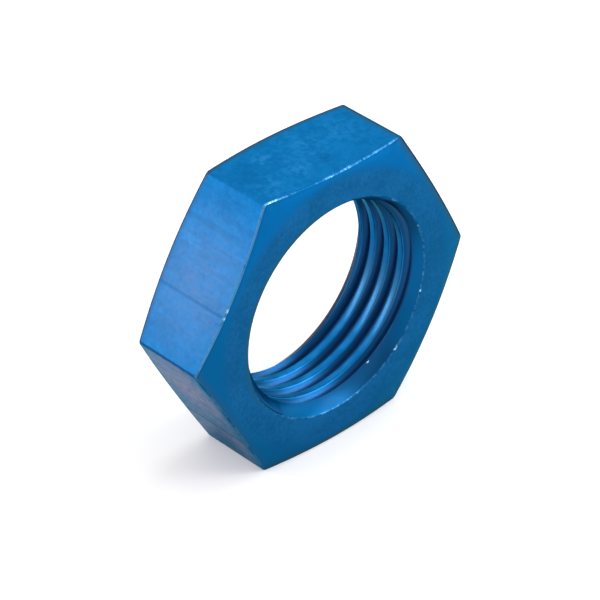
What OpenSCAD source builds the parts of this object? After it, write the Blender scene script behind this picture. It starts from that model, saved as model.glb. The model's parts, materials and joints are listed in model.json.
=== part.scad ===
// Adjusting nut: a thin hexagonal lock nut turned and milled from one piece of aluminium bar.
// It stands on one of its flats. The thread's axis lies along Y, the front face looks towards -Y and +Z is up.
// The origin is on the thread's axis, midway between the two faces.
// The bore is cut to the crests of the thread, and the thread's groove is cut outwards from it.

/* [Hexagon] */
// Distance across the flats, which is the spanner size
across_flats = 25.4; // [22.5:0.1:34]
// Thickness of the nut from face to face
thickness = 7.9; // [5.5:0.1:16]

/* [Corner chamfers] */
// How far the chamfer reaches in from the flats, on each face
chamfer_in = 0.58; // [0.1:0.02:1.2]
// Slope of the chamfer, in degrees from the face
chamfer_angle = 15; // [10:1:30]

/* [Thread] */
// Major diameter of the thread, at the bottom of its groove
thread_d = 19.05; // [14:0.05:20]
// Radial depth of the thread, from its crests to the bottom of its groove
thread_depth = 0.7; // [0.4:0.025:1.2]
// How far the thread advances in one turn
thread_pitch = 1.5875; // [1.4:0.0125:2.5]
// Where the groove crosses the middle of the bore, in degrees round from +X towards +Z
thread_start = 71; // [0:1:359]

/* [Countersinks] */
// How far the countersink's rim stands outside the thread's groove
rim_margin = 0.15; // [0:0.05:0.5]
// Slope of the countersink, in degrees from the thread's axis
countersink_angle = 45; // [30:5:60]

/* [Hidden] */
$fn = 96;
anodised_blue = [0.05, 0.4, 0.66];
corner_r = across_flats / 2 / cos(30);
face_r = across_flats / 2 - chamfer_in;
bore_r = thread_d / 2 - thread_depth;
rim_r = thread_d / 2 + rim_margin;
countersink_h = (rim_r - bore_r) / tan(countersink_angle);
// How far a cutting shape runs past the surface it cuts
overrun = 0.5;
// The groove is a 60 degree V with a flat bottom an eighth of the pitch wide
flank_angle = 30;
bottom_w = thread_pitch / 8;
// Points round the groove's slice, and the slices that one turn and the whole groove may take
slice_points = 32;
slices_per_turn = 24;
most_slices = 190;

// Radius that the groove's walls have reached at a distance along the axis from the groove's middle
function groove_r(along) = thread_d / 2 - max(0, along - bottom_w / 2) / tan(flank_angle);

// A slice of hexagonal bar, with two of its flats facing along Y
module hexagonal_bar() {
    cylinder(h = thickness, r = corner_r, center = true, $fn = 6);
}

// The form that the lathe leaves: a disc whose rim falls away from both faces
module turned_form() {
    face_z = thickness / 2;
    outside_r = corner_r + overrun;
    outside_z = face_z - (outside_r - face_r) * tan(chamfer_angle);
    rotate_extrude()
        polygon([
            [0, -face_z],
            [face_r, -face_z],
            [outside_r, -outside_z],
            [outside_r, outside_z],
            [face_r, face_z],
            [0, face_z]
        ]);
}

// One countersink, at the mouth of the bore on the upper face
module countersink() {
    cut_h = countersink_h + overrun;
    mouth_r = rim_r + overrun * tan(countersink_angle);
    translate([0, 0, thickness / 2 - countersink_h])
        cylinder(h = cut_h, r1 = bore_r, r2 = mouth_r);
}

// The hole through the crests of the thread, open at both faces, with a countersink at each mouth
module crest_bore() {
    cylinder(h = thickness + 2 * overrun, r = bore_r, center = true);
    countersink();
    mirror([0, 0, 1]) countersink();
}

// The groove as a level cut shows it: a cam, widest where the cut meets the groove's middle.
// Its narrow side stays inside the crests, where the bore is open already.
module groove_slice() {
    inside_r = bore_r - thread_depth / 8;
    polygon([
        for (turn = [-180 : 360 / slice_points : 179])
            max(inside_r, groove_r(thread_pitch * abs(turn) / 360)) * [cos(turn), sin(turn)]
    ]);
}

// The right-handed groove, from face to face: the cam turned once round for each pitch that it rises
module thread_groove() {
    groove_h = thickness + 2 * overrun;
    turns = groove_h / thread_pitch;
    slices = min(ceil(turns * slices_per_turn), most_slices);
    rotate([0, 0, thread_start - 180 * turns])
        translate([0, 0, -groove_h / 2])
            linear_extrude(height = groove_h, twist = -360 * turns, slices = slices, $fn = slice_points)
                groove_slice();
}

// The whole nut, stood up on one flat with its upper face turned to the front
module nut() {
    color(anodised_blue)
        rotate([90, 0, 0])
            difference() {
                intersection() {
                    hexagonal_bar();
                    turned_form();
                }
                crest_bore();
                thread_groove();
            }
}

nut();
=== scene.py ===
import json
import math

import bmesh
import bpy
from mathutils import Matrix, Vector


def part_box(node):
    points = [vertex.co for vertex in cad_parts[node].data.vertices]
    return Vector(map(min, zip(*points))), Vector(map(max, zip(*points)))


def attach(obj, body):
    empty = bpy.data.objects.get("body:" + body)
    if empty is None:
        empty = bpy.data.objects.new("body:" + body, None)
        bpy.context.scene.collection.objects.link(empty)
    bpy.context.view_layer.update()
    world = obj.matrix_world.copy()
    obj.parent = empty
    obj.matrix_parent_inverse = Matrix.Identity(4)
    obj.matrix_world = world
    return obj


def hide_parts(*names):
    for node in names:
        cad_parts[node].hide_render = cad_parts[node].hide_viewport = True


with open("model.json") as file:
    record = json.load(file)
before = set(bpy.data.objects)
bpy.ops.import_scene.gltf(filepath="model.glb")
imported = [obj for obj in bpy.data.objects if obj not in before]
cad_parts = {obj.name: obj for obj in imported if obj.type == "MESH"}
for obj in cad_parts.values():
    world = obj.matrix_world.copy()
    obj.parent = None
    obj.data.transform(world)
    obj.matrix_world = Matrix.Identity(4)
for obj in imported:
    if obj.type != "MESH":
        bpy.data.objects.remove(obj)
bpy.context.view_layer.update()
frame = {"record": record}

cadLow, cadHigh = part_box("nut")
threadMount = next(mount for mount in frame["record"]["mounts"] if mount["name"] == "thread")

# The nut is modelled in millimetres, lying on its back face, and is stood up at the end.
millimetre = 0.001
acrossFlats = (cadHigh.z - cadLow.z) / millimetre
cornerRadius = (cadHigh.x - cadLow.x) / 2 / millimetre
thickness = (cadHigh.y - cadLow.y) / millimetre
frontEdge = -thickness / 2  # from mid-thickness towards the back
crestRadius = threadMount["dims"]["r_mm"]
mouthDepth = (thickness - threadMount["dims"]["length_mm"]) / 2
rimRadius = crestRadius + mouthDepth

# which material slot each kind of surface takes
drawnFlat, shadedBrokenEdge, turnedFace, cutThread, rubbedLitEdge, backMouth = range(6)


def makeActive(obj):
    bpy.ops.object.select_all(action="DESELECT")
    obj.select_set(True)
    bpy.context.view_layer.objects.active = obj


def pickEdges(obj, wanted):
    mesh = bmesh.from_edit_mesh(obj.data)
    for edge in mesh.edges:
        edge.select_set(False)
    for edge in mesh.edges:
        if wanted(edge):
            edge.select_set(True)
    bmesh.update_edit_mesh(obj.data)


def pullSelected(obj, radius, height):
    # moves the selected points to a circle round the axis, each along its own spoke
    mesh = bmesh.from_edit_mesh(obj.data)
    for point in mesh.verts:
        if point.select:
            spoke = point.co.xy.normalized() * radius
            point.co = (spoke.x, spoke.y, height)
    bmesh.update_edit_mesh(obj.data)


def paintFaces(obj, slot, wanted):
    for face in obj.data.polygons:
        if wanted(face):
            face.material_index = slot


def applyModifiers(obj):
    makeActive(obj)
    for modifier in list(obj.modifiers):
        bpy.ops.object.modifier_apply(modifier=modifier.name)


nutForm = {
    "chamferIn": 0.58,        # how far the corner chamfer reaches in from the flats
    "chamferAngle": 15.0,     # degrees from the face
    "cornerReach": 0.22,      # how far the drawn corners are rounded, along each flat
    "cornerSteps": 6,
    "edgeRound": 0.12,        # width of the broken edges round both faces
    "edgeSteps": 3,
    "cutsPerFlat": 47,
    "faceRing": 0.5,          # band of clean faces kept round the countersink
}
faceRadius = acrossFlats / 2 - nutForm["chamferIn"]
chamferSlope = math.tan(math.radians(nutForm["chamferAngle"]))


def faceHeight(radius):
    # height of the front surface at a radius: flat inside, falling away on the chamfer
    return thickness / 2 - max(0.0, radius - faceRadius) * chamferSlope


def isAlongAxis(edge):
    return abs(edge.verts[0].co.z - edge.verts[1].co.z) > 0.01


def edgeLength(edge):
    return (edge.verts[0].co - edge.verts[1].co).length


def turnBlank():
    bpy.ops.object.select_all(action="DESELECT")
    bpy.ops.mesh.primitive_cylinder_add(
        vertices=6, radius=cornerRadius, depth=thickness, end_fill_type="NOTHING",
        rotation=(0, 0, math.radians(30)))
    blank = bpy.context.object
    blank.name = "adjusting_nut"
    bpy.ops.object.transform_apply(location=False, rotation=True, scale=False)
    bpy.ops.object.mode_set(mode="EDIT")
    bpy.ops.mesh.select_mode(type="EDGE")
    pickEdges(blank, isAlongAxis)
    bpy.ops.mesh.bevel(offset=nutForm["cornerReach"], segments=nutForm["cornerSteps"])
    pickEdges(blank, lambda edge: not isAlongAxis(edge) and edgeLength(edge) > acrossFlats / 4)
    bpy.ops.mesh.subdivide(number_cuts=nutForm["cutsPerFlat"])
    for side in (1, -1):
        pickEdges(blank, lambda edge: edge.is_boundary and edge.verts[0].co.z * side > 0)
        mesh = bmesh.from_edit_mesh(blank.data)
        for point in mesh.verts:
            if point.select:  # the corners are turned down to the chamfer
                point.co.z = side * faceHeight(point.co.xy.length)
        bmesh.update_edit_mesh(blank.data)
        bpy.ops.mesh.extrude_edges_move()
        pullSelected(blank, faceRadius, side * thickness / 2)
        bpy.ops.mesh.extrude_edges_move()
        pullSelected(blank, rimRadius + nutForm["faceRing"], side * thickness / 2)
        bpy.ops.mesh.edge_face_add()
    bpy.ops.mesh.select_all(action="SELECT")
    bpy.ops.mesh.normals_make_consistent(inside=False)
    bpy.ops.object.mode_set(mode="OBJECT")
    paintFaces(blank, turnedFace, lambda face: abs(face.normal.z) > 0.7)
    edges = blank.modifiers.new("brokenEdges", "BEVEL")
    edges.width = nutForm["edgeRound"]
    edges.segments = nutForm["edgeSteps"]
    edges.limit_method = "ANGLE"
    edges.angle_limit = math.radians(30)
    edges.material = shadedBrokenEdge
    return blank


countersinkForm = {
    "frontRunIn": 0.28,       # how much deeper each mouth starts than the record says
    "backRunIn": 0.30,
    "backWider": 0.27,        # how much farther out the back rim stands
    "rimRound": 0.07,         # height of the broken rim
    "rimSpread": 0.45,        # how far it ends outside the rim, as a share of that height
    "rimSink": 0.25,          # how far it ends below the face, as a share of that height
    "steps": 256,
    "lead": 0.4,              # how far inside the bore the cutter starts
    "overrun": 0.6,           # how far above the face it ends
    "overrunSpread": 3.0,     # how much faster it spreads there than it rises
}


def turnMouth(side):
    # one countersink's cutter: a cone whose last step flares to break the rim
    isBack = side < 0
    rim = rimRadius + (countersinkForm["backWider"] if isBack else 0.0)
    depth = mouthDepth + countersinkForm["backRunIn" if isBack else "frontRunIn"]
    flare = countersinkForm["rimRound"]
    slope = (rim - flare - crestRadius) / (depth - flare)
    lead = countersinkForm["lead"]
    over = countersinkForm["overrun"]
    endRadius = rim + flare * countersinkForm["rimSpread"]
    endHeight = thickness / 2 - flare * countersinkForm["rimSink"]
    rings = [
        (crestRadius - lead * slope, thickness / 2 - depth - lead),
        (rim - flare, thickness / 2 - flare),
        (endRadius, endHeight),
        (endRadius + over * countersinkForm["overrunSpread"], endHeight + over),
    ]
    startRadius, startHeight = rings[0]
    bpy.ops.object.select_all(action="DESELECT")
    bpy.ops.mesh.primitive_circle_add(vertices=countersinkForm["steps"], radius=startRadius, fill_type="NGON")
    mouth = bpy.context.object
    mouth.name = "countersinkCutter"
    bpy.ops.object.mode_set(mode="EDIT")
    bpy.ops.mesh.select_mode(type="EDGE")
    pullSelected(mouth, startRadius, side * startHeight)
    pickEdges(mouth, lambda edge: edge.is_boundary)
    for radius, height in rings[1:]:
        bpy.ops.mesh.extrude_edges_move()
        pullSelected(mouth, radius, side * height)
    bpy.ops.mesh.edge_face_add()
    bpy.ops.mesh.select_all(action="SELECT")
    bpy.ops.mesh.normals_make_consistent(inside=False)
    bpy.ops.object.mode_set(mode="OBJECT")
    coneEnd = rim - flare * 0.8  # the middles of the cone's faces lie well inside this
    paintFaces(mouth, backMouth if isBack else turnedFace, lambda face: True)
    paintFaces(mouth, shadedBrokenEdge, lambda face: len(face.vertices) == 4 and face.center.xy.length > coneEnd)
    return mouth


threadForm = {
    "majorRadius": 9.525,
    "pitch": 1.5875,
    "halfAngle": 30.0,
    "startAngle": -97.0,      # turns the thread in the bore
    "cornerRound": 0.07,
    "roundSteps": 3,
    "stepsPerTurn": 192,
    "turns": 8,
    "runOut": 2.0,            # how far the tap's pointed ends reach past its last turns
    "weldWithin": 0.001,
}


def cutTap():
    # the tap: one pitch of the thread's outline, wound up the axis and closed at both ends
    pitch = threadForm["pitch"]
    depth = threadForm["majorRadius"] - crestRadius
    rootHalf = pitch / 16
    mouthHalf = rootHalf + depth * math.tan(math.radians(threadForm["halfAngle"]))
    outline = [
        (crestRadius, 0.0),
        (crestRadius, pitch / 2 - mouthHalf),
        (threadForm["majorRadius"], pitch / 2 - rootHalf),
        (threadForm["majorRadius"], pitch / 2 + rootHalf),
        (crestRadius, pitch / 2 + mouthHalf),
        (crestRadius, pitch),
    ]
    bpy.ops.object.select_all(action="DESELECT")
    bpy.ops.mesh.primitive_circle_add(vertices=len(outline), radius=1.0)
    tap = bpy.context.object
    tap.name = "tapCutter"
    for point, (radius, height) in zip(tap.data.vertices, outline):
        point.co = (radius, 0.0, height - pitch * threadForm["turns"] / 2)
    bpy.ops.object.mode_set(mode="EDIT")
    bpy.ops.mesh.select_mode(type="EDGE")
    # the edge that closes the circle runs the whole pitch, and goes
    pickEdges(tap, lambda edge: abs(edge.verts[0].co.z - edge.verts[1].co.z) > pitch * 0.9)
    bpy.ops.mesh.delete(type="EDGE")
    bpy.ops.object.mode_set(mode="OBJECT")
    corners = tap.modifiers.new("roundCorners", "BEVEL")
    corners.affect = "VERTICES"
    corners.width = threadForm["cornerRound"]
    corners.segments = threadForm["roundSteps"]
    winding = tap.modifiers.new("winding", "SCREW")
    winding.axis = "Z"
    winding.angle = math.radians(360)
    winding.screw_offset = pitch
    winding.iterations = threadForm["turns"]
    winding.steps = threadForm["stepsPerTurn"]
    winding.render_steps = threadForm["stepsPerTurn"]
    winding.use_merge_vertices = True
    winding.merge_threshold = threadForm["weldWithin"]
    applyModifiers(tap)
    bpy.ops.object.mode_set(mode="EDIT")
    bpy.ops.mesh.select_all(action="SELECT")
    bpy.ops.mesh.remove_doubles(threshold=threadForm["weldWithin"])
    for side in (1, -1):
        pickEdges(tap, lambda edge: edge.is_boundary and edge.verts[0].co.z * side > 0)
        bpy.ops.mesh.extrude_edges_move(TRANSFORM_OT_translate={"value": (0, 0, side * threadForm["runOut"])})
        bpy.ops.mesh.merge(type="CENTER")
    bpy.ops.mesh.select_all(action="SELECT")
    bpy.ops.mesh.normals_make_consistent(inside=False)
    bpy.ops.object.mode_set(mode="OBJECT")
    tap.data.transform(Matrix.Rotation(math.radians(threadForm["startAngle"]), 4, "Z"))
    paintFaces(tap, cutThread, lambda face: True)
    return tap


def cutAway(piece, cutter):
    for material in piece.data.materials:
        cutter.data.materials.append(material)
    cut = piece.modifiers.new("cut", "BOOLEAN")
    cut.operation = "DIFFERENCE"
    cut.solver = "EXACT"
    cut.object = cutter
    applyModifiers(piece)
    bpy.data.objects.remove(cutter)


def standUp(piece):
    # front face towards -Y, one flat down, and metres
    piece.data.transform(Matrix.Rotation(math.radians(90), 4, "X"))
    piece.data.transform(Matrix.Scale(millimetre, 4))


# Every finish is a dyed oxide over bright metal, so it is metallic, and all but the edges and the
# back mouth have a thin clear coat. Each roughness is given for the low and the high parts of a noise,
# and each bump is how deep the fine marks are, in millimetres.
blueFinish = {
    "deepBlue": (0.0, 0.094, 0.27, 1),
    "paleBlue": (0.004, 0.122, 0.33, 1),
    "lineBlue": (0.0, 0.060, 0.19, 1),
    "hazeBlue": (0.068, 0.134, 0.280, 1),
    "dustyBlue": (0.42, 0.21, 0.36, 1),
    "scuffBlue": (0.03, 0.18, 0.42, 1),
    "backBlue": (0.020, 0.068, 0.155, 1),
    "faceDeep": (0.004, 0.075, 0.203, 1),
    "facePale": (0.009, 0.103, 0.280, 1),
    "chamferBlue": (0.0, 0.104, 0.305, 1),
    "chamferDeep": (0.0, 0.088, 0.240, 1),
    "rimDull": (0.014, 0.080, 0.165, 1),
    "coneBlue": (0.001, 0.080, 0.225, 1),
    "coneDeep": (0.002, 0.044, 0.122, 1),
    "coneTop": (0.03, 0.14, 0.40, 1),
    "mouthBlue": (0.003, 0.050, 0.140, 1),
    "crestPale": (0.027, 0.128, 0.280, 1),
    "flankBlue": (0.001, 0.042, 0.130, 1),
    "rootBlue": (0.007, 0.066, 0.205, 1),
    "edgeBlue": (0.002, 0.060, 0.17, 1),
    "edgePale": (0.055, 0.21, 0.42, 1),
    "edgeGrey": (0.024, 0.072, 0.152, 1),
    "dustyEdge": (0.070, 0.130, 0.210, 1),
    "outlineBlue": (0.004, 0.030, 0.085, 1),
    "bareMetal": (0.42, 0.74, 0.90, 1),
    "edgeTint": (0.30, 0.66, 0.66, 1),       # tints what is reflected at a grazing angle
    # darkens what the shaded edges and the back mouth reflect at a grazing angle: painted shade
    "outlineTint": (0.10, 0.14, 0.20, 1),
    "flatRoughness": (0.37, 0.43),
    "faceRoughness": (0.40, 0.46),
    "coneSmoother": 0.09,                    # how much smoother the cone is than the face
    "threadRoughness": (0.28, 0.34),
    "edgeRoughness": (0.40, 0.30),
    "rootMetal": 0.75,
    "coat": 0.04,
    "coatRoughness": 0.2,
    "threadCoat": 0.07,
    "flatBump": 0.0009,
    "faceBump": 0.002,
    "threadBump": 0.0015,
    "edgeBump": 0.008,
}

# Flats count round from the top one. A place on a flat is measured along it from its middle, and
# then from mid-thickness towards the back, in millimetres. Angles go round from +X towards +Z.
# The bounds beside each finish say where a tone starts and where it is full, then its strength.
# Those that begin with an angle are distances from the axis in its direction.


def outwards(angle):
    # direction from the axis at an angle, in degrees
    turn = math.radians(angle)
    return Vector((math.cos(turn), 0, math.sin(turn)))


def flatDirections(flat):
    # outward direction of a flat, and the direction its places are measured along
    return outwards(90 + 60 * flat), outwards(180 + 60 * flat)


def spotOnFlat(flat, along, towardsBack=0.0):
    outward, direction = flatDirections(flat)
    return outward * acrossFlats / 2 + direction * along + Vector((0, towardsBack, 0))


def spotRound(angle, radius, towardsBack=0.0):
    # a spot on a circle round the axis
    return outwards(angle) * radius + Vector((0, towardsBack, 0))


def addNode(tree, kind, settings=None, inputs=None):
    made = tree.nodes.new(kind)
    for key, value in (settings or {}).items():
        setattr(made, key, value)
    for key, value in (inputs or {}).items():
        if isinstance(value, bpy.types.NodeSocket):
            tree.links.new(value, made.inputs[key])
        else:
            made.inputs[key].default_value = value
    return made


def objectPlace(tree, scale=(1, 1, 1)):
    # the surface's own place in millimetres, stretched where the scale is below one
    coordinate = addNode(tree, "ShaderNodeTexCoord")
    size = [factor / millimetre for factor in scale]
    return addNode(tree, "ShaderNodeMapping", inputs={
        "Vector": coordinate.outputs["Object"], "Scale": size}).outputs["Vector"]


def levelPlace(tree):
    # the place with its distance along the axis left out
    return objectPlace(tree, (1, 0, 1))


def vectorMath(tree, operation, first, second=None):
    inputs = {0: first} if second is None else {0: first, 1: second}
    return addNode(tree, "ShaderNodeVectorMath", {"operation": operation}, inputs).outputs["Value"]


def axisDistance(tree):
    return vectorMath(tree, "LENGTH", levelPlace(tree))


def distanceTo(tree, place, spot):
    return vectorMath(tree, "DISTANCE", place, spot)


def alongDirection(tree, place, direction):
    return vectorMath(tree, "DOT_PRODUCT", place, direction)


def noise(tree, place, scale, detail=2.0, roughness=0.5):
    return addNode(tree, "ShaderNodeTexNoise", inputs={
        "Vector": place, "Scale": scale, "Detail": detail, "Roughness": roughness}).outputs["Fac"]


def ramp(tree, value, fromLow, fromHigh, toLow=0.0, toHigh=1.0):
    return addNode(tree, "ShaderNodeMapRange", {"interpolation_type": "SMOOTHSTEP"}, {
        "Value": value, "From Min": fromLow, "From Max": fromHigh,
        "To Min": toLow, "To Max": toHigh}).outputs["Result"]


def combine(tree, operation, first, second):
    return addNode(tree, "ShaderNodeMath", {"operation": operation}, {0: first, 1: second}).outputs[0]


def times(tree, first, second):
    return combine(tree, "MULTIPLY", first, second)


def plus(tree, first, second):
    return combine(tree, "ADD", first, second)


def strongest(tree, masks):
    found = masks[0]
    for mask in masks[1:]:
        found = combine(tree, "MAXIMUM", found, mask)
    return found


def blendColours(tree, factor, first, second):
    return addNode(tree, "ShaderNodeMix", {"data_type": "RGBA"}, {0: factor, 6: first, 7: second}).outputs[2]


def tint(tree, colour, factor, name):
    # turns a colour towards one of the blueFinish colours
    return blendColours(tree, factor, colour, blueFinish[name])


def patches(tree, place, spots):
    # soft round patches on the flats, each as strong as its last number says
    return strongest(tree, [
        ramp(tree, distanceTo(tree, place, spotOnFlat(flat, along, back)), reach, 0.0, 0.0, strength)
        for flat, along, back, reach, strength in spots])


def zone(tree, place, angle, start, full, strength=1.0):
    # grows between two distances from the axis, in one direction
    return ramp(tree, alongDirection(tree, place, outwards(angle)), start, full, 0.0, strength)


def nearFlats(tree, place, flats, start, full, strength=1.0):
    # grows between two depths under the nearest of some flats
    outermost = strongest(tree, [alongDirection(tree, place, flatDirections(flat)[0]) for flat in flats])
    return ramp(tree, outermost, acrossFlats / 2 - start, acrossFlats / 2 - full, 0.0, strength)


def nearFace(tree, towards, start, full, strength=1.0):
    # grows between two distances from the front or the back face
    return ramp(tree, towards, thickness / 2 - start, thickness / 2 - full, 0.0, strength)


# A painted highlight makes the crests paler on one side of the bore, where the lamp on the left shines in,
# and the tapping tool left a burr below it. Angle and reach, with the burr's place along the axis between
# them.
crestHighlight = (-28, 4.8)
burr = (-60.5, -2.95, 0.23)


def aroundBurr(tree, place):
    # the burr reaches over both the cone and the thread
    angle, along, reach = burr
    spot = spotRound(angle, crestRadius, along)
    return ramp(tree, distanceTo(tree, place, spot), reach, reach / 2)


def newFinish(name):
    material = bpy.data.materials.new(name)
    material.use_nodes = True
    shader = material.node_tree.nodes["Principled BSDF"]
    shader.inputs["Metallic"].default_value = 1.0
    shader.inputs["Specular Tint"].default_value = blueFinish["edgeTint"]
    shader.inputs["Coat Weight"].default_value = blueFinish["coat"]
    shader.inputs["Coat Roughness"].default_value = blueFinish["coatRoughness"]
    return material, material.node_tree, shader


def setRoughness(tree, shader, mask, limits):
    tree.links.new(ramp(tree, mask, 0.3, 0.7, *limits), shader.inputs["Roughness"])


def roughen(tree, shader, height, depth):
    bump = addNode(tree, "ShaderNodeBump", inputs={"Height": height, "Distance": depth * millimetre})
    tree.links.new(bump.outputs["Normal"], shader.inputs["Normal"])


# Dark lines that the drawing die left, and at 7.28 on flat 1 and 7.22 on flat 2 dark lines of painted shade
# along the corners: flat, place along it, width and strength.
dieLinesAndCornerShade = [
    (1, 2.05, 0.20, 0.36),
    (1, -3.8, 0.45, 0.12),
    (1, 7.28, 0.22, 0.8),
    (2, 2.7, 0.25, 1.0),
    (2, -1.2, 0.12, 0.5),
    (2, 7.22, 0.30, 0.8),
    (4, -2.4, 0.15, 0.7),
    (5, 3.1, 0.30, 0.4),
]

# Patches with many fine scratches, which look milky, and across the upper-left flat a painted whitish sheen
# of the lamp on the left: flat, place, reach and strength. The scuffs, smudges and rubbed places
# further on are listed in the same way.
hazeAndSheenPatches = [
    (1, 1.0, 0.0, 9.5, 0.85),
    (4, -1.0, 0.0, 6.0, 0.6),
]

# Greyer patches, all on one flat: a painted grey sheen of what the lower-left flat reflects at a grazing
# angle.
greySheenFlat = 2
greySheenPatches = [
    (greySheenFlat, -3.0, 0.0, 9.0, 1.0),
    (greySheenFlat, 4.5, -1.5, 6.0, 0.78),
    (greySheenFlat, 4.0, 2.2, 5.0, 0.9),
]

# Scuffs where the blue is thinner, and smudges where it is darker.
scuffs = [
    (0, 3.0, 1.6, 1.3, 0.8),
    (0, 1.8, -1.1, 1.9, 0.7),
    (0, -0.5, 1.0, 3.4, 0.35),
    (0, -4.4, 0.6, 2.8, 0.4),
    (0, 5.0, -1.8, 2.4, 0.4),
    (1, -2.0, 2.0, 1.8, 0.3),
    (3, 2.0, -1.0, 2.2, 0.6),
    (5, -2.5, 0.5, 2.4, 0.6),
]
smudges = [
    (0, -0.7, -1.6, 1.2, 0.6),
    (0, 5.6, 0.8, 2.2, 0.3),
    (1, -6.4, 0.0, 2.2, 0.4),
    (2, 5.6, 0.0, 3.4, 0.7),
    (3, -3.0, 1.5, 2.0, 0.4),
]

# distances from an edge or a corner of the flats
flatBounds = {
    "backBand": (0.55, 0.25),
    "backBandTop": (0.8, 0.1, 0.45),   # where it grows under the top flat, and its strength below that
    "backLine": (0.20, 0.08, 0.9),
    "dustEnd": (1.3, 0.25),            # how near the front edge the painted sheen thins, and what is left there
    "dustSide": (0.10, 0.03),          # depths under the sheen-painted flat: the corners beside it stay clean
    "cornerGrey": (0.90, 0.15, 0.85),
    "cornerLine": (0.36, 0.12, 0.85),
}


def drawnFlatFinish():
    material, tree, shader = newFinish("drawnBlueFlat")
    place = objectPlace(tree)
    level = levelPlace(tree)
    cloud = noise(tree, place, 0.45, 3.0)
    mottle = noise(tree, place, 2.0, 5.0, 0.7)
    grain = noise(tree, place, 2.6, 3.0, 0.6)
    streaks = noise(tree, objectPlace(tree, (1, 0.05, 1)), 3.0, 3.0)  # long along the bar
    etch = noise(tree, place, 9.0, 2.0)
    tone = plus(tree, times(tree, cloud, 0.35), times(tree, mottle, 0.65))
    colour = tint(tree, blueFinish["deepBlue"], ramp(tree, tone, 0.38, 0.62), "paleBlue")

    scratched = times(tree, ramp(tree, grain, 0.3, 0.7, 0.55, 1.0), ramp(tree, streaks, 0.3, 0.7, 0.7, 1.0))
    # milky scratch haze, and a painted sheen on the upper-left flat
    hazeAndSheen = times(tree, patches(tree, place, hazeAndSheenPatches), scratched)
    colour = tint(tree, colour, hazeAndSheen, "hazeBlue")

    # how near each face is, measured from the edge that its chamfer leaves
    chamfered = times(tree, combine(tree, "SUBTRACT", axisDistance(tree), faceRadius), chamferSlope)
    towardsBack = plus(tree, alongDirection(tree, place, (0, 1, 0)), chamfered)
    towardsFront = plus(tree, alongDirection(tree, place, (0, -1, 0)), chamfered)

    # painted grey sheen on the lower-left flat
    dusty = times(tree, patches(tree, place, greySheenPatches), ramp(tree, mottle, 0.38, 0.62, 0.4, 1.0))
    thinFrom, leftOver = flatBounds["dustEnd"]
    thinning = ramp(tree, towardsFront, thickness / 2 - thinFrom, thickness / 2, 1.0, leftOver)
    dusty = times(tree, dusty, thinning)
    dusty = times(tree, dusty, nearFlats(tree, place, (greySheenFlat,), *flatBounds["dustSide"]))
    colour = tint(tree, colour, dusty, "dustyBlue")
    scuffed = times(tree, patches(tree, place, scuffs), ramp(tree, mottle, 0.42, 0.66))
    colour = tint(tree, colour, scuffed, "scuffBlue")
    smudged = times(tree, patches(tree, place, smudges), ramp(tree, grain, 0.3, 0.55))
    # the die lines, and two corner lines that are painted shade
    lines = strongest(tree, [
        ramp(tree, distanceTo(tree, level, spotOnFlat(flat, along)), width * 0.9, width * 0.3, 0.0, strength)
        for flat, along, width, strength in dieLinesAndCornerShade])
    for mask in (smudged, lines):
        colour = tint(tree, colour, mask, "lineBlue")

    # painted shade: the back edge and the right-hand corner of the top flat turn away into the dark, and are
    # painted darker
    start, full, aside = flatBounds["backBandTop"]
    upwards = alongDirection(tree, place, outwards(90))
    topmost = ramp(tree, upwards, acrossFlats / 2 - start, acrossFlats / 2 - full, aside, 1.0)
    backBand = times(tree, nearFace(tree, towardsBack, *flatBounds["backBand"]), topmost)
    colour = tint(tree, colour, backBand, "backBlue")
    corner = distanceTo(tree, level, spotOnFlat(0, -acrossFlats / 2 * math.tan(math.radians(30))))
    start, full, strength = flatBounds["cornerGrey"]
    colour = tint(tree, colour, ramp(tree, corner, start, full, 0.0, strength), "edgeGrey")
    start, full, strength = flatBounds["cornerLine"]
    cornerLine = ramp(tree, corner, start, full, 0.0, strength)
    backLine = nearFace(tree, towardsBack, *flatBounds["backLine"])
    colour = tint(tree, colour, strongest(tree, [backLine, cornerLine]), "outlineBlue")
    tree.links.new(colour, shader.inputs["Base Color"])
    setRoughness(tree, shader, streaks, blueFinish["flatRoughness"])
    roughen(tree, shader, plus(tree, streaks, times(tree, etch, 0.8)), blueFinish["flatBump"])
    return material


# Painted light and shade, where the turned faces are a little deeper or paler: angle, radius, reach and
# change of tone.
paintedFaceShading = [
    (0, 10.8, 7.0, -0.09),
    (180, 10.8, 6.0, -0.08),
    (255, 10.8, 7.0, 0.07),
]

# Bands of painted shade under the flats, where the front face turns grey and dark: flats, the depths
# under them at which a band starts and is full, and its strength.
greyShadeBands = [
    ((3, 4, 5), 0.95, 0.10, 0.95),
    ((greySheenFlat,), 0.90, 0.10, 0.45),
]
darkShadeBands = [
    ((3, 4, 5), 0.26, 0.12, 0.78),
    ((0, 1), 0.40, 0.12, 0.3),
]

faceBounds = {
    "chamfer": 0.6,                    # either side of the chamfer's inner edge
    "chamferBright": (90, 0.0, 9.0),
    "dullRim": (0.6, 0.15),            # outside the rim
    "dullRimSide": (155, 3.5, 7.5),
    "deepCone": (-14, 9.0, 7.2),
    "topCone": (90, 7.0, 8.2),
    "paleCone": (222, 6.3, 8.3, 0.7),
    "cone": (0.02, 0.10),              # inside the rim
}


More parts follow.
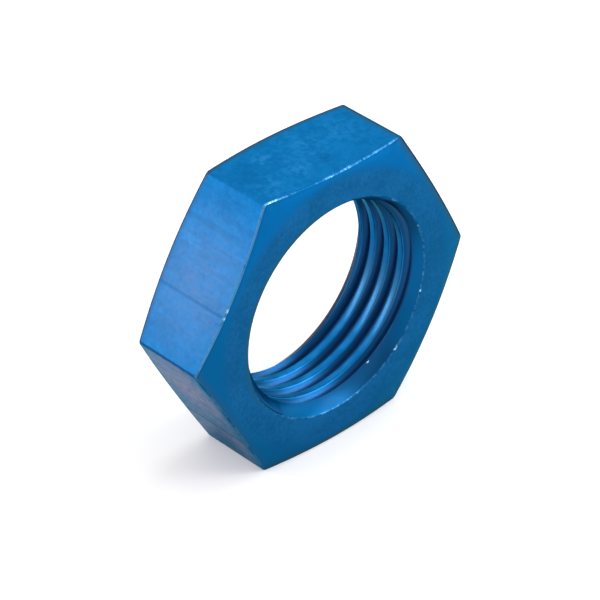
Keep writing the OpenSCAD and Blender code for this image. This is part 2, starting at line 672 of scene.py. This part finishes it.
def turnedFaceFinish():
    material, tree, shader = newFinish("turnedBlueFace")
    place = objectPlace(tree)
    radius = axisDistance(tree)
    rings = addNode(tree, "ShaderNodeTexNoise", {"noise_dimensions": "1D"}, {
        "W": radius, "Scale": 8.0, "Detail": 3.0}).outputs["Fac"]
    cloud = noise(tree, place, 0.35, 3.0)
    mottle = noise(tree, place, 3.2, 5.0, 0.75)
    etch = noise(tree, place, 9.0, 2.0)
    tone = plus(tree, times(tree, cloud, 0.35), times(tree, mottle, 0.65))
    for angle, away, reach, change in paintedFaceShading:
        spot = spotRound(angle, away, frontEdge)
        tone = plus(tree, tone, ramp(tree, distanceTo(tree, place, spot), reach, 0.0, 0.0, change))
    colour = tint(tree, blueFinish["faceDeep"], ramp(tree, tone, 0.36, 0.64), "facePale")

    # painted light: the chamfer is paler towards the top and deeper below
    chamferLightTone = zone(tree, place, *faceBounds["chamferBright"])
    chamfer = tint(tree, blueFinish["chamferDeep"], chamferLightTone, "chamferBlue")
    blend = faceBounds["chamfer"]
    chamfered = ramp(tree, radius, faceRadius - blend, faceRadius + blend)
    colour = blendColours(tree, chamfered, colour, chamfer)
    # painted shade on the face just outside the rim, on the upper-left side
    start, full = faceBounds["dullRim"]
    nearRim = ramp(tree, radius, rimRadius + start, rimRadius + full)
    rimShadeMask = times(tree, nearRim, zone(tree, place, *faceBounds["dullRimSide"]))
    colour = tint(tree, colour, rimShadeMask, "rimDull")

    # painted shade and light on the countersink: deeper away from the right side, paler at the top, and back
    # to the plain blue on the lower left
    cone = tint(tree, blueFinish["coneBlue"], zone(tree, place, *faceBounds["deepCone"]), "coneDeep")
    cone = tint(tree, cone, zone(tree, place, *faceBounds["topCone"]), "coneTop")
    cone = tint(tree, cone, zone(tree, place, *faceBounds["paleCone"]), "coneBlue")
    start, full = faceBounds["cone"]
    inCone = ramp(tree, radius, rimRadius - start, rimRadius - full)
    colour = blendColours(tree, inCone, colour, cone)
    colour = tint(tree, colour, aroundBurr(tree, place), "bareMetal")

    for bands, name in ((greyShadeBands, "edgeGrey"), (darkShadeBands, "outlineBlue")):
        band = strongest(tree, [nearFlats(tree, place, *bounds) for bounds in bands])
        colour = tint(tree, colour, band, name)
    tree.links.new(colour, shader.inputs["Base Color"])
    turned = ramp(tree, cloud, 0.3, 0.7, *blueFinish["faceRoughness"])
    smoother = times(tree, inCone, -blueFinish["coneSmoother"])
    tree.links.new(plus(tree, turned, smoother), shader.inputs["Roughness"])
    roughen(tree, shader, plus(tree, rings, times(tree, etch, 0.5)), blueFinish["faceBump"])
    return material


threadBounds = {
    "flank": (0.02, 0.16),             # outside the crests, as is the root
    "root": (0.10, 0.50),
    "overhead": (90, 1.0, 6.5, 0.64),
    "lastCrest": (1.5, 1.25, 0.85),    # from the back face
    "lastCrestWider": (238, 5.0, 8.5, 0.55),  # where that tone starts farther in, and by how much
}


def cutThreadFinish():
    # blue crests, flanks painted dark as the shade in the groove, and a torn, matte root painted lighter to
    # lift that shade
    material, tree, shader = newFinish("tappedBlueThread")
    shader.inputs["Coat Weight"].default_value = blueFinish["threadCoat"]
    place = objectPlace(tree)
    radius = axisDistance(tree)
    cloud = noise(tree, place, 0.8, 3.0)
    etch = noise(tree, place, 7.0, 3.0)
    colour = tint(tree, blueFinish["deepBlue"], ramp(tree, cloud, 0.35, 0.65), "paleBlue")
    angle, reach = crestHighlight
    highlightSide = distanceTo(tree, levelPlace(tree), spotRound(angle, crestRadius))
    colour = tint(tree, colour, ramp(tree, highlightSide, reach, 0.0), "crestPale")
    colour = tint(tree, colour, aroundBurr(tree, place), "bareMetal")

    start, full = threadBounds["flank"]
    colour = tint(tree, colour, ramp(tree, radius, crestRadius + start, crestRadius + full), "flankBlue")
    start, full = threadBounds["root"]
    root = ramp(tree, radius, crestRadius + start, crestRadius + full)
    colour = tint(tree, colour, root, "rootBlue")
    # painted shade over the top of the bore
    colour = tint(tree, colour, zone(tree, place, *threadBounds["overhead"]), "outlineBlue")
    # painted shade on the last crest by the back face
    wider = zone(tree, place, *threadBounds["lastCrestWider"])
    towardsBack = plus(tree, alongDirection(tree, place, (0, 1, 0)), wider)
    colour = tint(tree, colour, nearFace(tree, towardsBack, *threadBounds["lastCrest"]), "flankBlue")
    tree.links.new(colour, shader.inputs["Base Color"])
    tree.links.new(ramp(tree, root, 0.0, 1.0, 1.0, blueFinish["rootMetal"]), shader.inputs["Metallic"])
    setRoughness(tree, shader, etch, blueFinish["threadRoughness"])
    roughen(tree, shader, etch, blueFinish["threadBump"])
    return material


def shadedBackMouthFinish():
    # the back countersink is painted darker than the front one, as shade
    material, tree, shader = newFinish("dullBackMouth")
    shader.inputs["Specular Tint"].default_value = blueFinish["outlineTint"]
    shader.inputs["Coat Weight"].default_value = 0.0
    place = objectPlace(tree)
    cloud = noise(tree, place, 0.8, 3.0)
    etch = noise(tree, place, 7.0, 3.0)
    colour = tint(tree, blueFinish["coneDeep"], ramp(tree, cloud, 0.35, 0.65), "mouthBlue")
    tree.links.new(colour, shader.inputs["Base Color"])
    setRoughness(tree, shader, etch, blueFinish["threadRoughness"])
    roughen(tree, shader, etch, blueFinish["threadBump"])
    return material


def shadedBrokenEdgeFinish():
    # the edges that turn away into the dark, painted dark as shade, with their reflections darkened too
    material, tree, shader = newFinish("brokenBlueEdge")
    shader.inputs["Specular Tint"].default_value = blueFinish["outlineTint"]
    shader.inputs["Coat Weight"].default_value = 0.0
    beads = noise(tree, objectPlace(tree), 3.2, 4.0, 0.65)
    colour = tint(tree, blueFinish["outlineBlue"], ramp(tree, beads, 0.5, 0.8, 0.0, 0.4), "edgeBlue")
    tree.links.new(colour, shader.inputs["Base Color"])
    setRoughness(tree, shader, beads, blueFinish["edgeRoughness"])
    roughen(tree, shader, beads, blueFinish["edgeBump"])
    return material


# Places on the front edges where the blue is rubbed through.
wornSpots = [
    (0, 6.9, frontEdge, 1.6, 0.62),
    (0, 5.2, frontEdge, 1.2, 0.2),
    (0, 0.9, frontEdge, 0.9, 0.25),
    (0, -1.1, frontEdge, 1.0, 0.46),
    (0, -3.9, frontEdge, 1.1, 0.1),
    (0, -6.2, frontEdge, 0.9, 0.8),
    (1, -7.3, frontEdge, 1.1, 0.8),
    (1, -6.3, frontEdge, 0.4, 0.6),
    (1, 1.4, frontEdge, 0.6, 0.55),
    (1, 2.1, frontEdge, 0.5, 0.65),
    (1, 6.5, frontEdge, 0.7, 1.0),
    (2, 5.6, frontEdge, 0.8, 0.4),
    (3, -7.2, frontEdge, 0.5, 0.7),
    (3, -3.0, frontEdge, 1.2, 0.45),
    (5, 2.0, frontEdge, 1.5, 0.45),
]

# Stretches of front edge that are rubbed pale all along, and painted pale as a glint of the light.
paleWornAndGlintStretches = [
    (0, -6.2, frontEdge, 1.8, 0.9),
    (0, -4.4, frontEdge, 5.0, 0.60),
    (0, -1.2, frontEdge, 4.5, 0.66),
    (0, 1.0, frontEdge, 2.6, 0.70),
    (0, 6.6, frontEdge, 2.4, 1.0),
    (0, 5.2, frontEdge, 3.0, 0.55),
    (1, -6.8, frontEdge, 3.0, 1.0),
    (1, -4.5, frontEdge, 7.0, 1.0),
    (1, 0.0, frontEdge, 7.0, 1.0),
    (1, 4.5, frontEdge, 7.0, 1.0),
    (2, -3.5, frontEdge, 5.0, 0.8),
    (2, 1.5, frontEdge, 6.0, 0.8),
    (2, 5.5, frontEdge, 5.0, 0.8),
]

# Bright specks on the countersink's rim: angle, reach and strength.
rimSpecks = [
    (-47, 0.6, 0.5),
    (-16, 0.5, 0.42),
    (23, 0.6, 0.5),
    (51, 0.6, 0.3),
]

edgeBounds = {
    "rim": (0.5, 0.3, 0.52),           # outside the rim, painted pale there as the rim's highlight
    "dusty": (0.3, 0.1),               # depths under the sheen-painted flat
}


def rubbedLitEdgeFinish():
    # the front edges and the rim, where the blue is rubbed pale and through in places, and painted pale along
    # the lit edges and the rim as a glint
    material, tree, shader = newFinish("rubbedBlueEdge")
    shader.inputs["Coat Weight"].default_value = 0.0
    place = objectPlace(tree)
    beads = noise(tree, place, 3.2, 4.0, 0.65)
    start, full, strength = edgeBounds["rim"]
    rim = ramp(tree, axisDistance(tree), rimRadius + start, rimRadius + full, 0.0, strength)
    pale = strongest(tree, [patches(tree, place, paleWornAndGlintStretches), rim])
    pale = ramp(tree, plus(tree, times(tree, beads, 1.1), pale), 0.9, 1.5)
    specks = strongest(tree, [
        ramp(tree, distanceTo(tree, place, spotRound(angle, rimRadius, frontEdge)), reach, 0.0, 0.0, strength)
        for angle, reach, strength in rimSpecks])
    worn = strongest(tree, [patches(tree, place, wornSpots), specks])
    rubbed = ramp(tree, plus(tree, beads, times(tree, worn, 0.6)), 0.68, 0.96)
    # the edge under that flat takes the same painted grey sheen
    beneathGreySheen = nearFlats(tree, place, (greySheenFlat,), *edgeBounds["dusty"])
    palest = tint(tree, blueFinish["edgePale"], beneathGreySheen, "dustyEdge")
    colour = blendColours(tree, pale, blueFinish["edgeBlue"], palest)
    tree.links.new(tint(tree, colour, rubbed, "bareMetal"), shader.inputs["Base Color"])
    setRoughness(tree, shader, beads, blueFinish["edgeRoughness"])
    roughen(tree, shader, beads, blueFinish["edgeBump"])
    return material


def isRubbedLitEdge(face):
    # the front rim, and the front edges on the side of the first three flats, which face the light and take
    # the pale painted glint; the rest keep the dark painted shade
    place = face.center
    outward = flatDirections(1)[0]
    isBeside = place.x * outward.x + place.y * outward.z > 0
    isRim = place.xy.length < rimRadius + edgeBounds["rim"][0]
    return face.material_index == shadedBrokenEdge and place.z > 0 and (isRim or isBeside)


def makeNut():
    nut = turnBlank()
    finishes = {
        drawnFlat: drawnFlatFinish, shadedBrokenEdge: shadedBrokenEdgeFinish, turnedFace: turnedFaceFinish,
        cutThread: cutThreadFinish, rubbedLitEdge: rubbedLitEdgeFinish, backMouth: shadedBackMouthFinish,
    }
    for slot in sorted(finishes):
        nut.data.materials.append(finishes[slot]())
    applyModifiers(nut)
    print("blank turned and its edges broken:", len(nut.data.polygons), "faces")
    for side in (1, -1):
        cutAway(nut, turnMouth(side))
    paintFaces(nut, rubbedLitEdge, isRubbedLitEdge)
    print("mouths countersunk:", len(nut.data.polygons), "faces")
    cutAway(nut, cutTap())
    print("thread cut:", len(nut.data.polygons), "faces")
    standUp(nut)
    makeActive(nut)
    bpy.ops.object.shade_smooth_by_angle(angle=math.radians(35))
    weighted = nut.modifiers.new("faceNormals", "WEIGHTED_NORMAL")
    weighted.keep_sharp = True
    applyModifiers(nut)
    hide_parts("nut")
    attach(nut, "root")


# The camera is long and far off, above the nut's front left.
cameraView = {
    "azimuth": -43.72,
    "elevation": 34.41,
    "roll": 0.47,
    "distance": 0.2875,
    "focalPixels": 3604.0,
    "imagePixels": 600.0,
    "asideRight": 0.00029,
    "asideUp": 0.00096,
    "sensorWidth": 36.0,
}


def placeCamera():
    azimuth = math.radians(cameraView["azimuth"])
    elevation = math.radians(cameraView["elevation"])
    roll = math.radians(cameraView["roll"])
    back = Vector((
        math.sin(azimuth) * math.cos(elevation),
        -math.cos(azimuth) * math.cos(elevation),
        math.sin(elevation)))
    right = Vector((math.cos(azimuth), math.sin(azimuth), 0))
    up = back.cross(right)
    rightRolled = math.cos(roll) * right + math.sin(roll) * up
    upRolled = math.cos(roll) * up - math.sin(roll) * right
    bpy.ops.object.camera_add()
    camera = bpy.context.object
    camera.name = "photoCamera"
    camera.data.sensor_width = cameraView["sensorWidth"]
    camera.data.lens = cameraView["focalPixels"] / cameraView["imagePixels"] * cameraView["sensorWidth"]
    aside = rightRolled * cameraView["asideRight"] + upRolled * cameraView["asideUp"]
    turned = Matrix((rightRolled, upRolled, back)).transposed().to_4x4()
    camera.matrix_world = Matrix.Translation(back * cameraView["distance"] - aside) @ turned
    camera.data.clip_start = 0.01
    camera.data.clip_end = 20.0
    bpy.context.scene.camera = camera


studio = {
    "floorSize": 4.0,
    "floorColour": (0.70, 0.70, 0.70, 1),
    "floorRoughness": 0.9,
    "floorTopUp": 0.26,       # what the floor lacks to be white, given only to the eye
    "worldLight": 0.5,
}

# Soft boxes: the direction they stand in, their distance, width, height and brightness.
softBoxes = {
    "overheadBox": ((0.0, 0.0, 1.0), 0.8, 2.0, 2.0, 0.85),
    "rightStrip": ((0.82, 0.0, 0.57), 1.0, 0.8, 2.2, 1.5),
    "leftBackBox": ((-0.767, 0.608, 0.202), 0.8, 0.6, 0.35, 0.4),
    "leftBackLamp": ((-0.715, 0.596, 0.355), 0.7, 0.11, 0.46, 4.4),
    "rightFrontBox": ((0.578, -0.689, 0.438), 0.9, 0.38, 0.60, 6.0),
}


def seenDirectly(tree):
    # 1 for what the eye sees straight, in metal or through glass, and 0 for light that falls on things
    path = addNode(tree, "ShaderNodeLightPath")
    return strongest(tree, [
        path.outputs[kind] for kind in ("Is Camera Ray", "Is Glossy Ray", "Is Transmission Ray")])


def layFloor():
    bpy.ops.object.select_all(action="DESELECT")
    bpy.ops.mesh.primitive_plane_add(size=studio["floorSize"], location=(0, 0, cadLow.z))
    floor = bpy.context.object
    floor.name = "paleFloor"
    material = bpy.data.materials.new("paleFloorWhite")
    material.use_nodes = True
    tree = material.node_tree
    shader = tree.nodes["Principled BSDF"]
    shader.inputs["Base Color"].default_value = studio["floorColour"]
    shader.inputs["Roughness"].default_value = studio["floorRoughness"]
    shader.inputs["Specular IOR Level"].default_value = 0.0
    shader.inputs["Emission Color"].default_value = (1, 1, 1, 1)
    topUp = times(tree, seenDirectly(tree), studio["floorTopUp"])
    tree.links.new(topUp, shader.inputs["Emission Strength"])
    floor.data.materials.append(material)


def lightWorld():
    world = bpy.data.worlds.new("studioWorld")
    bpy.context.scene.world = world
    world.use_nodes = True
    tree = world.node_tree
    background = tree.nodes["Background"]
    background.inputs["Color"].default_value = (1, 1, 1, 1)
    strength = addNode(tree, "ShaderNodeMapRange", inputs={
        "Value": seenDirectly(tree), "To Min": studio["worldLight"], "To Max": 1.0})
    tree.links.new(strength.outputs["Result"], background.inputs["Strength"])


def hangSoftBoxes():
    for name, (direction, distance, width, height, brightness) in softBoxes.items():
        towards = Vector(direction).normalized()
        bpy.ops.object.light_add(type="AREA", location=towards * distance)
        lamp = bpy.context.object
        lamp.name = name
        lamp.rotation_euler = towards.to_track_quat("Z", "Y").to_euler()
        lamp.data.shape = "RECTANGLE"
        lamp.data.size = width
        lamp.data.size_y = height
        lamp.data.energy = brightness * math.pi * width * height
        lamp.visible_camera = False


bpy.context.scene.view_settings.view_transform = "Standard"
placeCamera()
layFloor()
lightWorld()
hangSoftBoxes()
print("studio set")
makeNut()
